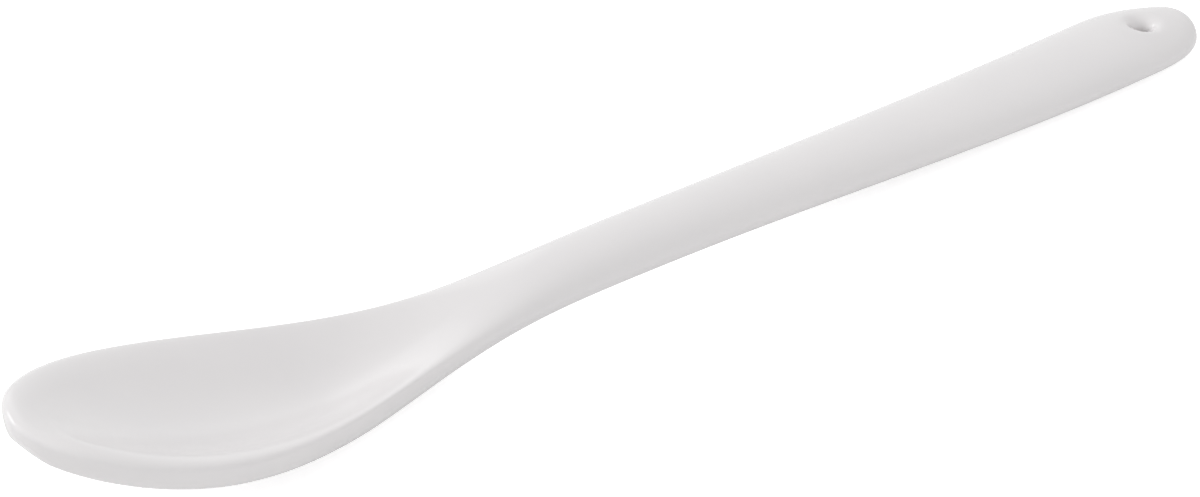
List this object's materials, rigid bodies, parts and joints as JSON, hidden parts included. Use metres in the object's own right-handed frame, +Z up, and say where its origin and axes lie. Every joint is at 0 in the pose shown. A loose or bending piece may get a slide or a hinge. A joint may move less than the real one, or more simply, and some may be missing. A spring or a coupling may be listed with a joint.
{
  "type": "coffee spoon",
  "caption": "Small white porcelain coffee spoon with an oval bowl, a slim handle that widens to a rounded end, and a hanging hole.",
  "frame": {"origin": "on the table, under the middle of the spoon's length and width", "axes": "+X along the handle, away from the bowl; +Y across the bowl; +Z up from the table, out of the bowl's hollow"},
  "size_m": [0.135, 0.0226, 0.0134],
  "materials": {
    "biscuit_porcelain": "bare fired porcelain, matte and finely grained",
    "white_glaze": "clear gloss glaze over a white body"
  },
  "bodies": {
    "root": {"porcelain_body": "biscuit_porcelain", "glaze_coat": "white_glaze"}
  },
  "joints": []
}
